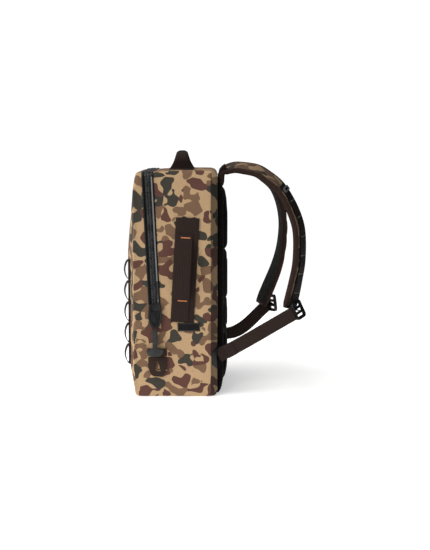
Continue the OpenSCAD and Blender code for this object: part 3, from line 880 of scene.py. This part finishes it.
STITCH_GAP = 0.005
for word, side in SIDES.items():
    for part, start, target, z0, z1, to in (
            ("back_seam", (0.080, 0.10), (0.080, 0.16), 0.012, 0.468, "pack"),
            ("front_seam_low", (-0.05, 0.12), (SEAM_X, 0.155), 0.014, 0.146, "pack"),
            ("front_seam_high", (-0.05, 0.12), (SEAM_X, 0.155), 0.168, 0.45, "lid")):
        seam(f"{part}_{word}", side, start, target, z0, z1, to)


# ---- Side handles and label ----
HANDLE_LEAN = radians(3.2)
HANDLE_Z0, HANDLE_Z1 = 0.163, 0.386
TACK_Z0, TACK_Z1 = 0.213, 0.341
HANDLE_W, HANDLE_RISE, HANDLE_SHIFT = 0.038, 0.017, -0.006
HANDLE_X = 0.024                    # the handle's middle, where it bends off its base
WEB_T = 1.8 * MM                    # webbing's thickness


def handle_frame(side, z, lift):
    """A frame on the handle's leaning centre line; side is -1 near, 1 far."""
    x = 0.020 + (z - HANDLE_Z0) * tan(HANDLE_LEAN)
    across = Vector((cos(HANDLE_LEAN), 0, -sin(HANDLE_LEAN)))
    return Vector((x, side * (SIDE_Y + lift), z)), across, Vector((0, side, 0))


def arch(z):
    """How far the free middle of the handle stands off its base."""
    t = (z - TACK_Z0) / (TACK_Z1 - TACK_Z0)
    if not 0 < t < 1:
        return WEB_T
    return WEB_T + HANDLE_RISE * (1 - abs(2 * t - 1) ** 2.4)


def handle_frames(side, z0, z1, count, lift, shift=0.0):
    placed = []
    for k in range(count + 1):
        z = z0 + (z1 - z0) * k / count
        p, across, out = handle_frame(side, z, 0)
        slope = (lift(z + 1e-4) - lift(z - 1e-4)) / 2e-4
        tilted = (out - Vector((0, 0, slope))).normalized()
        placed.append((p + across * shift + out * lift(z), across, tilted))
    return placed


def side_handle(side, word):
    base = handle_frames(side, HANDLE_Z0, HANDLE_Z1, 30, lambda z: -0.4 * MM)
    lay(f"handle_base_{word}", base, band_ring(0.050, WEB_T + 0.4 * MM), WEBBING, "pack",
        f"side_handle_base_{word}")
    middle = (TACK_Z0 + TACK_Z1) / 2
    for part, z0, z1, start, end in (
            ("low", HANDLE_Z0 + 0.002, middle, 0.226, 0.250),
            ("high", middle, TACK_Z1 + 0.010, 0.328, 0.304)):
        frames = handle_frames(side, z0, z1, 44, arch, HANDLE_SHIFT)
        bend = ("pack", f"side_handle_{word}", (HANDLE_X, 0, start), (HANDLE_X, 0, end))
        nodes = (f"side_handle_{word}",) if part == "low" else ()
        lay(f"handle_strap_{part}_{word}", frames, band_ring(HANDLE_W, WEB_T, cross=6),
            WEBBING, bend, *nodes)


for word, side in SIDES.items():
    side_handle(side, word)

tacks = []
for side in SIDES.values():
    for z in (TACK_Z0 - 0.0038, TACK_Z1 + 0.0027):
        p, across, out = handle_frame(side, z, 2 * WEB_T)
        tacks.append(bar_tack(p + across * (HANDLE_SHIFT + 0.004), across, out, 0.020,
                              2.6 * MM, 0.7 * MM))
gather("handle_tacks", tacks, COPPER_THREAD, "pack", "handle_bar_tacks")

soften("label_cloth", "side_label", LABEL_CLOTH, "pack", 0.4, 2)
low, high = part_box("side_label")
inset = Vector((1.6 * MM, 0, 1.6 * MM))
low, high = low + inset, high - inset
rim = [(low.x, low.z), (high.x, low.z), (high.x, high.z), (low.x, high.z)]
runs = [stitch_run([(xa, low.y, za), (xb, low.y, zb)], [(0, -1, 0)] * 2, 1.6 * MM, 0.9 * MM,
                   0.22 * MM) for (xa, za), (xb, zb) in zip(rim, rim[1:] + rim[:1])]
gather("label_stitching", runs, GREY_THREAD, "pack")


# ---- Top haul handle ----
grip_low, grip_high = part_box("top_handle_grip")
GRIP_Z = (grip_low.z + grip_high.z) / 2
GRIP_R = (grip_high.z - grip_low.z) / 2
HAUL_X, LEG_Y, LEG_TALL, HAUL_BEND = 0.017, 0.0516, GRIP_Z - TOP_Z, 0.013


def haul_path():
    """Up one leg, round the bend, along the grip and down the other leg, in Y and Z."""
    bend = HAUL_BEND
    leg = [(-LEG_Y, z) for z in np.linspace(TOP_Z + 0.0005, GRIP_Z - bend, 10)]
    turn = [(-LEG_Y + bend - bend * cos(a), GRIP_Z - bend + bend * sin(a))
            for a in np.linspace(0, pi / 2, 9)[1:]]
    half = leg + turn + [(y, GRIP_Z) for y in np.linspace(-LEG_Y + bend, 0, 12)[1:]]
    return half + [(-y, z) for y, z in reversed(half[:-1])]


HAUL_WIDTHS = ((0, 0.12, 0.35, 0.62, 1), (0.0285, 0.0250, 0.0205, 0.0170, 0.0122))


def haul_section(t):
    """t runs from 0, flat webbing at the seam, to 1, folded round the grip."""
    width = float(np.interp(t, *HAUL_WIDTHS))
    power = 0.35 + 0.10 * t
    return oval(28, width, 0.0020 + (0.0098 - 0.0020) * t ** 2.0, power, power)


path = haul_path()
haul_frames = []
for k, (y, z) in enumerate(path):
    a, b = path[max(k - 1, 0)], path[min(k + 1, len(path) - 1)]
    t = Vector((0, b[0] - a[0], b[1] - a[1])).normalized()
    haul_frames.append((Vector((HAUL_X, y, z)), Vector((1, 0, 0)), Vector((0, -t.z, t.y))))
lay("haul_webbing", haul_frames,
    lambda i: haul_section(min(1.0, (path[i][1] - TOP_Z) / LEG_TALL)), WEBBING,
    ("pack", "top_handle", (HAUL_X, 0, TOP_Z + 0.002), (HAUL_X, 0, TOP_Z + 0.019)),
    "top_handle_webbing")


def grip_section(i):
    """The wrap's ring: ribs round it, a rolled rim at each end and a seam underneath."""
    end = min(i, GRIP_RINGS - 1 - i)
    rim = 0.0007 if end in (1, 2, 3) else 0.0
    ribs = 0.00035 * cos(i * 1.9)
    r = GRIP_R - 0.0003 + rim + ribs - (0.0012 if end == 0 else 0)
    ring = []
    for k, (a, o) in enumerate(oval(36, 1, 1, 0.62, 0.62)):
        turn = tau * k / 36
        seam = 0.0006 * exp(-((sin(turn / 2 + pi / 4)) / 0.12) ** 2)
        ring.append(((r - seam) * a, (r - seam) * o))
    return ring


GRIP_RINGS, GRIP_HALF = 47, 0.030
grip_frames = [(Vector((HAUL_X, -GRIP_HALF + 2 * GRIP_HALF * k / (GRIP_RINGS - 1), GRIP_Z)),
                Vector((1, 0, 0)), Vector((0, 0, 1))) for k in range(GRIP_RINGS)]
lay("haul_grip_wrap", grip_frames, grip_section, DARK_WEBBING, "top_handle",
    "top_handle_grip")
soften("haul_anchor_tabs", "top_handle_anchors", WEBBING, "pack", 0.6, 2)


# ---- Lash loops ----
CROWN = 0.021
CROWN_R = (SIDE_Y ** 2 + CROWN ** 2) / (2 * CROWN)
DAISY_Y, DAISY_W, DAISY_PITCH, DAISY_RISE = 0.105, 0.022, 0.046, 0.0078
LOOP_LONG = DAISY_PITCH - 0.006
DAISY_TURN = asin(DAISY_Y / CROWN_R)
DAISY_X = SEAM_X - CROWN + CROWN_R * (1 - cos(DAISY_TURN))


def daisy_frame(side, z, lift, slope=0.0):
    out = Vector((-cos(DAISY_TURN), side * sin(DAISY_TURN), 0))
    across = Vector((sin(DAISY_TURN) * side, cos(DAISY_TURN), 0))
    place = Vector((DAISY_X, side * DAISY_Y, z)) + out * lift
    return place, across, (out - Vector((0, 0, slope))).normalized()


def loop_rise(t):
    """How far a lash loop stands off, t of the way along it."""
    return DAISY_RISE * sin(pi * min(max(t, 0), 1)) ** 0.62


def daisy(side, z0, count, to, node):
    backing = [daisy_frame(side, z, 0) for z in
               np.linspace(z0 + 0.001, z0 + count * DAISY_PITCH - 0.001, 24)]
    lay(f"{node}_strip", backing, band_ring(DAISY_W, WEB_T + 0.0012, low=-0.0012), WEBBING, to)
    rows, step = [], 1e-3
    for k in range(count):
        base = z0 + 0.003 + k * DAISY_PITCH
        stations = []
        for t in np.arange(29) / 28:
            slope = (loop_rise(t + step) - loop_rise(t - step)) / (2 * step * LOOP_LONG)
            stations.append(daisy_frame(side, base + LOOP_LONG * t, WEB_T + loop_rise(t),
                                        max(-2.0, min(2.0, slope))))
        lay(f"{node}_loop_{k + 1}", stations, band_ring(DAISY_W - 0.0008, 1.5 * MM), WEBBING,
            to, *([node] if k == 0 else []))
        for z in (base + 0.0006, base + LOOP_LONG - 0.0006):
            p, across, out = daisy_frame(side, z, 2.0 * WEB_T)
            rows.append(bar_tack(p, across, out, DAISY_W * 0.7, 2.0 * MM))
    gather(f"{node}_tacks", rows, BROWN_THREAD, to)


for word, side in SIDES.items():
    for part, count, to in (("lower", 2, "pack"), ("upper", 3, "lid")):
        node = f"daisy_{part}_{word}"
        daisy(side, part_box(node)[0].z - 0.001, count, to, node)


# ---- Shoulder straps ----
# Each strap's route and its roll at each point, in mm and degrees, and its ladder lock's place
ROUTES = {"near": [(113, -56, 485), (132, -58, 490), (151, -62, 489), (182, -68, 483),
                   (205, -74, 469), (229, -82, 449), (250, -92, 416), (266, -102, 378),
                   (272, -110, 343), (271, -116, 290), (264, -121, 250), (255, -125, 210),
                   (249, -127, 190)],
          "far": [(113, 56, 479), (132, 58, 482), (151, 62, 481), (182, 68, 474),
                  (203, 74, 460), (224, 82, 440), (238, 92, 410), (246, 102, 375),
                  (248, 110, 340), (244, 116, 295), (234, 121, 252), (213, 125, 198),
                  (198, 127, 163)]}
ROLLS = {"near": [9, 12, 14, 16, 17, 17, 18, 19, 20, 21, 23, 28, 32],
         "far": [3, 4, 5, 5, 4, 4, 4, 4, 5, 8, 13, 19, 24]}
LOCKS = {"near": (268, 143, 188), "far": (226, 131, 166)}
STRAP_W, STRAP_T, RUNG = 0.070, 0.011, 0.040


def catmull(points, per):
    """A smooth curve through the points, with per steps between each two."""
    pts = np.array(points, float)
    padded = np.vstack([pts[:1], pts, pts[-1:]])
    out = []
    for k in range(len(pts) - 1):
        a, b, c, d = padded[k:k + 4]
        for t in np.arange(per) / per:
            out.append(0.5 * (2 * b + (c - a) * t + (2 * a - 5 * b + 4 * c - d) * t * t
                              + (3 * b - a - 3 * c + d) * t ** 3))
    out.append(pts[-1])
    return np.array(out)


PER, ROOT_POINTS = 8, 4


def strap_frames(word):
    """The strap's frames, from its root on the yoke over the shoulder to its end."""
    route, rolls, y_axis = ROUTES[word], ROLLS[word], Vector((0, SIDES[word], 0))
    y = route[0][1]
    root = [(103.4, y, 449), (103.6, y, 463), (104.6, y, 475), (107.8, y, 482)]
    points = catmull(root + route, PER) * MM
    turned = catmull([(r,) for r in [0, 0, 0, rolls[0] / 2] + rolls], PER)[:, 0]
    frames = []
    for i, p in enumerate(points):
        t = points[min(i + 1, len(points) - 1)] - points[max(i - 1, 0)]
        flat = Vector((t[0], 0, t[2])).normalized()
        out0 = Vector((-flat.z, 0, flat.x))
        roll = radians(turned[i])
        out = out0 * cos(roll) + y_axis * sin(roll)
        across = y_axis * cos(roll) - out0 * sin(roll)
        frames.append((Vector(p), across, out))
    return frames


def strap_half(i):
    """Half the strap's width at frame i: it narrows over its last stretch."""
    place = (i / PER - ROOT_POINTS) * 3
    return STRAP_W / 2 * (1 - 0.34 * max(0, (place - 27) / 9) ** 2)


def pad_ring(w, t):
    return oval(30, w, t, 0.55, 0.72)


def binding_ring(w, t, sign):
    """Tape wrapped over the pad's edge, from its outer face round to its inner face."""
    reach, outer, inner = 0.008, [], []
    for k in range(13):
        a = pi * (k / 12 - 0.5)
        c, s = cos(a), sin(a)
        edge = w - reach + reach * abs(c) ** 0.6
        level = signed_power(s, 0.6)
        outer.append((sign * (edge + 0.5 * MM * c), level * (t * 0.93 + 0.5 * MM)))
        inner.append((sign * (edge - 0.7 * MM), level * (t * 0.93 - 0.3 * MM)))
    return outer + inner[::-1]


def shoulder_strap(word):
    frames = strap_frames(word)
    body = f"strap_{word}"
    y = ROUTES[word][0][1] * MM
    bend = ("pack", body, (0.112, y, 0.47), (0.150, y, 0.47))
    count = len(frames)

    def half_thick(i):
        """The pad's ends are sewn flat."""
        return STRAP_T / 2 * min(1.0, 0.45 + 0.09 * i, 0.5 + 0.09 * (count - 1 - i))

    # The pad's canvas is darkened, partly as painted shade.
    pad = sweep(f"shoulder_foam_{word}", frames,
                lambda i: pad_ring(strap_half(i) - 1 * MM, half_thick(i)), STRAP_CANVAS_DARK_AND_SHADED)
    attach(pad, bend, f"shoulder_pad_{word}")
    for sign, edge in ((1, "outer"), (-1, "inner")):
        lay(f"strap_binding_{edge}_{word}", frames,
            lambda i: binding_ring(strap_half(i), half_thick(i), sign), BINDING, bend)
    lay(f"strap_liner_{word}", frames[3:-2],
        lambda i: [(a, o - half_thick(i + 3) + 0.2 * MM) for a, o in
                   pad_ring(strap_half(i + 3) - 6 * MM, 1.6 * MM)],
        STRAP_LINING, bend, f"strap_lining_{word}")

    first = (ROOT_POINTS + 5) * PER
    ladder = frames[first:]
    rungs = lengths(np.array([f[0] for f in ladder]))

    def lift(i):
        """The webbing arches between the rungs that tack it to the pad."""
        phase = (rungs[i] % RUNG) / RUNG
        return half_thick(i + first) + 0.1 * MM + 1.7 * MM * sin(pi * phase) ** 0.5

    lay(f"strap_ladder_{word}", ladder, lambda i: band_ring(0.038, WEB_T, low=lift(i)),
        DARK_WEBBING, body, f"strap_webbing_{word}")
    rows = []
    for k in range(1, int(rungs[-1] / RUNG) + 1):
        i = int(np.abs(rungs - k * RUNG).argmin())
        p, across, out = ladder[i]
        rows.append(bar_tack(p + out * (lift(i) + WEB_T), across, out, 0.030, 2.2 * MM))
    gather(f"strap_rung_tacks_{word}", rows, BROWN_THREAD, body)


for word in SIDES:
    shoulder_strap(word)
soften("strap_root_covers", "strap_roots", DARK_WEBBING, "pack", 1.2, 3)


# ---- Adjusters ----
ANCHOR = Vector((0.102, 0, 0.090))
ADJUSTER_Y, ADJUSTER_W, ADJUSTER_LEAN, TAIL_GAP = 0.138, 0.029, 0.085, 0.002


def adjuster_frames(word, y, start, stop, count, sag):
    """Along an adjuster from its anchor to its ladder lock. It leans away from the pack, and
    sag bows it down near the pack."""
    x, _, z = LOCKS[word]
    side = SIDES[word]
    run = Vector((x * MM, 0, z * MM)) - ANCHOR
    along = run.normalized()
    across = Vector((-along.z, 0, along.x))
    frames = []
    for k in range(count + 1):
        s = start + (run.length - start - stop) * k / count
        t = max(0.0, s / run.length)
        place = ANCHOR + along * s - across * (sag * t * (1 - t) ** 2)
        place += Vector((0, side * (y + ADJUSTER_LEAN * s), 0))
        frames.append((place, across, Vector((0, side, 0))))
    return frames


def wing(side, word):
    """The welded wing on the pack's lower back corner that the adjuster is sewn into. It
    lies on the skin."""
    across, tall, thick, sink = 8, 14, 1.8 * MM, 0.6 * MM
    top, bottom = [], []
    for i in range(across + 1):
        u = i / across
        low, high = 0.070 - 0.012 * u, 0.098 + 0.010 * u
        way = Vector((0.0860 + 0.0120 * u - 0.05, side * (0.153 - 0.013 * u) - side * 0.11, 0))
        for j in range(tall + 1):
            rim = i in (0, across) or j in (0, tall)
            z = low + (high - low) * j / tall
            p, n = skin_point((0.05, side * 0.11, z), way.normalized())
            top.append(p + n * (thick * (0.35 if rim else 1.0)))
            bottom.append(p - n * sink)
    n, row = len(top), tall + 1
    faces = []
    for i in range(across):
        for j in range(tall):
            a, b, c, d = i * row + j, (i + 1) * row + j, (i + 1) * row + j + 1, i * row + j + 1
            faces += [(a, b, c, d), (n + d, n + c, n + b, n + a)]
    border = ([i * row for i in range(across)] + [across * row + j for j in range(tall)]
              + [i * row + tall for i in range(across, 0, -1)] + list(range(tall, 0, -1)))
    faces += [(b, a, n + a, n + b) for a, b in zip(border, border[1:] + border[:1])]
    obj = closed_object(f"anchor_patch_{word}", top + bottom, faces)
    attach(dress(obj, PLASTIC, sharp=60), "pack")


def lock_tongue(side, word):
    """Webbing that holds the ladder lock on the strap's end."""
    strap = strap_frames(word)
    place, across, out = strap[-5]
    x, y, z = LOCKS[word]
    start = place + out * (STRAP_T / 2 + 1.6 * MM)
    end = Vector((x * MM, side * y * MM, z * MM))
    bow = strap[-1][0] + out * (STRAP_T / 2 + 4 * MM)
    frames = []
    for t in np.arange(15) / 14:
        p = start * (1 - t) ** 2 + bow * (2 * t * (1 - t)) + end * t ** 2
        d = ((bow - start) * (1 - t) + (end - bow) * t).normalized()
        frames.append((p, across, across.cross(d).normalized() * side))
    lay(f"lock_tongue_{word}", frames, band_ring(0.024, WEB_T), DARK_WEBBING, f"strap_{word}")


def adjuster(word, sag, room):
    """The adjuster, its tail and its fittings; room is what the tail leaves free at the ladder
    lock."""
    side = SIDES[word]
    wing(side, word)
    body = f"strap_{word}"
    y = side * ADJUSTER_Y
    bend = ("pack", body, (ANCHOR.x, y, 0.09), (ANCHOR.x + 0.022, y, 0.1))
    lay(f"adjuster_webbing_{word}",
        adjuster_frames(word, ADJUSTER_Y, -0.006, room - 0.004, 30, sag),
        band_ring(ADJUSTER_W, WEB_T), WEBBING, bend, f"adjuster_{word}")
    frames = adjuster_frames(word, ADJUSTER_Y + WEB_T + TAIL_GAP, 0.012, room, 30, sag)
    fold = (body, f"tail_{word}", tuple(frames[-2][0]), tuple(frames[-5][0]))
    lay(f"tail_webbing_{word}", frames, band_ring(ADJUSTER_W - 0.0006, WEB_T), WEBBING, fold,
        f"adjuster_tail_{word}")
    lay(f"tail_hem_{word}",
        adjuster_frames(word, ADJUSTER_Y + 2 * WEB_T + TAIL_GAP, 0.012, 0.0, 60, sag)[:8],
        band_ring(ADJUSTER_W - 0.0002, WEB_T, low=0.0002), WEBBING, f"tail_{word}")
    soften(f"ladder_lock_{word}_moulding", f"ladder_lock_{word}", PLASTIC, body, 1.1, 3)
    soften(f"sternum_clip_{word}_moulding", f"sternum_clip_{word}", GREY_PLASTIC,
           f"clip_{word}", 0.9, 3)
    soften(f"anchor_wing_{word}", f"lower_wing_{word}", BACK_CLOTH, "pack", 0.9, 2)


adjuster("near", 0.008, 0.013)
adjuster("far", 0.105, 0.014)
for word, side in SIDES.items():
    lock_tongue(side, word)


# ---- Back pads ----
PUFF, PUFF_CAP, PUFF_STEPS = 4, 5 * MM, 20


def pad_start(node):
    """A remeshed copy of a pad's CAD solid, a little smaller than it."""
    low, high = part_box(node)
    bm = node_mesh(node)
    middle = (low + high) / 2
    size = high - low
    margin, thin = 2.5 * MM, 0.8
    for v in bm.verts:
        v.co.y = middle.y + (v.co.y - middle.y) * (1 - 2 * margin / size.y)
        v.co.z = middle.z + (v.co.z - middle.z) * (1 - 2 * margin / size.z)
        v.co.x = low.x + (v.co.x - low.x) * thin
    obj = from_bmesh("pad", bm)
    remesh(obj, 5 * MM)
    mesh = finished(obj)
    bpy.data.objects.remove(obj)
    return mesh


def inflate(objects):
    """Puffs the pads up together with cloth, and caps how far each point moves."""
    starts = [coordinates(o.data) for o in objects]
    for obj in objects:
        cloth = obj.modifiers.new("cloth", "CLOTH")
        cloth.settings.use_pressure = True
        cloth.settings.uniform_pressure_force = PUFF
        cloth.settings.effector_weights.gravity = 0
        cloth.point_cache.frame_start = 1
        cloth.point_cache.frame_end = PUFF_STEPS
    for step in range(1, PUFF_STEPS + 1):
        scene.frame_set(step)
    graph = bpy.context.evaluated_depsgraph_get()
    ends = [coordinates(o.evaluated_get(graph).data) for o in objects]
    for obj in objects:
        obj.modifiers.clear()
    scene.frame_set(1)
    for obj, start, end in zip(objects, starts, ends):
        move = end - start
        keep = np.minimum(1, PUFF_CAP / np.maximum(np.linalg.norm(move, axis=1), 1e-9))
        move_points(obj.data, start + move * keep[:, None])


pads = {node: link(f"{node}_cushion", pad_start(node))
        for node in ("back_pad_top", "back_pad_mid", "back_pad_low", "lumbar_pad")}
inflate(pads.values())
for node, pad in pads.items():
    low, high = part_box(node)
    smooth = pad.modifiers.new("smooth", "SUBSURF")
    smooth.levels = smooth.render_levels = 1
    mesh = finished(pad)
    pad.modifiers.clear()
    pad.data = mesh
    co = coordinates(mesh)
    co[:, 0] = np.clip(co[:, 0], low.x + 0.1 * MM, high.x + 1.2 * MM)
    move_points(mesh, co)
    dress(pad, PAD_CLOTH, sharp=0)
    attach(pad, "pack", node)

soften("back_panel_cloth", "back_panel", BACK_CLOTH, "pack", 0.9, 2)

# The quilted layer's outer face, as (z, x)
LAYER = [(0.003, 0.100), (0.010, 0.105), (0.030, 0.1085), (0.060, 0.1105), (0.120, 0.111),
         (0.300, 0.111), (0.425, 0.110), (0.444, 0.1065), (0.456, 0.1035), (0.466, 0.101)]


def quilting():
    """The quilted layer between the pads: it fills the channels and runs on to the base."""
    half = -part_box("back_panel")[0].y - 0.001
    inside = BACK_X - 0.004
    frames, rings = [], []
    for z in np.linspace(LAYER[0][0], LAYER[-1][0], 90):
        deep = float(np.interp(z, *zip(*LAYER))) - inside
        frames.append((Vector((inside, 0, z)), Vector((0, 1, 0)), Vector((1, 0, 0))))
        ring = []
        for k, (a, o) in enumerate(oval(40, 1, 1, 0.3, 0.45)):
            taper = 0.010 * max(0, sin(tau * k / 40))
            ring.append((a * (half - taper), deep * 0.5 + o * deep * 0.5))
        rings.append(ring)
    quilt = sweep("back_quilting", frames, lambda i: rings[i], BACK_CLOTH)
    attach(quilt, "pack")


quilting()
soften("yoke_cloth", "strap_yoke", BACK_CLOTH, "pack", 2.2, 4)

# ---- Inside ----
soften("frame_sheet_board", "back_frame_sheet", SHEET, "pack", 0.5, 2)
soften("floor_foam", "floor_pad", FOAM, "pack", 1.2, 3)
soften("pocket_cloth", "pocket_panel", POCKET, "pack", 0.5, 2)
soften("pocket_zip_band", "pocket_zip", ZIP_TAPE, "pack", 0.4, 2)
soften("pocket_slider_body", "pocket_slider", METAL, "pocket_slider", 0.4, 2)


# ---- Floor ----
def make_floor():
    s = Shader("studio_floor", roughness=0.9)
    grain = s.noise(s.rest(), 3.0, 2)
    s.shade(Base_Color=s.mix(grain, (0.90, 0.90, 0.90, 1), (0.93, 0.93, 0.93, 1)),
            Emission_Color=(1, 1, 1, 1), Emission_Strength=0.45)
    floor = new_object("floor", [(-1.0, -1.0, 0), (1.3, -1.0, 0), (1.3, 1.3, 0),
                                 (-1.0, 1.3, 0)], [(0, 1, 2, 3)])
    dress(floor, s.material)


make_floor()

bpy.context.view_layer.update()
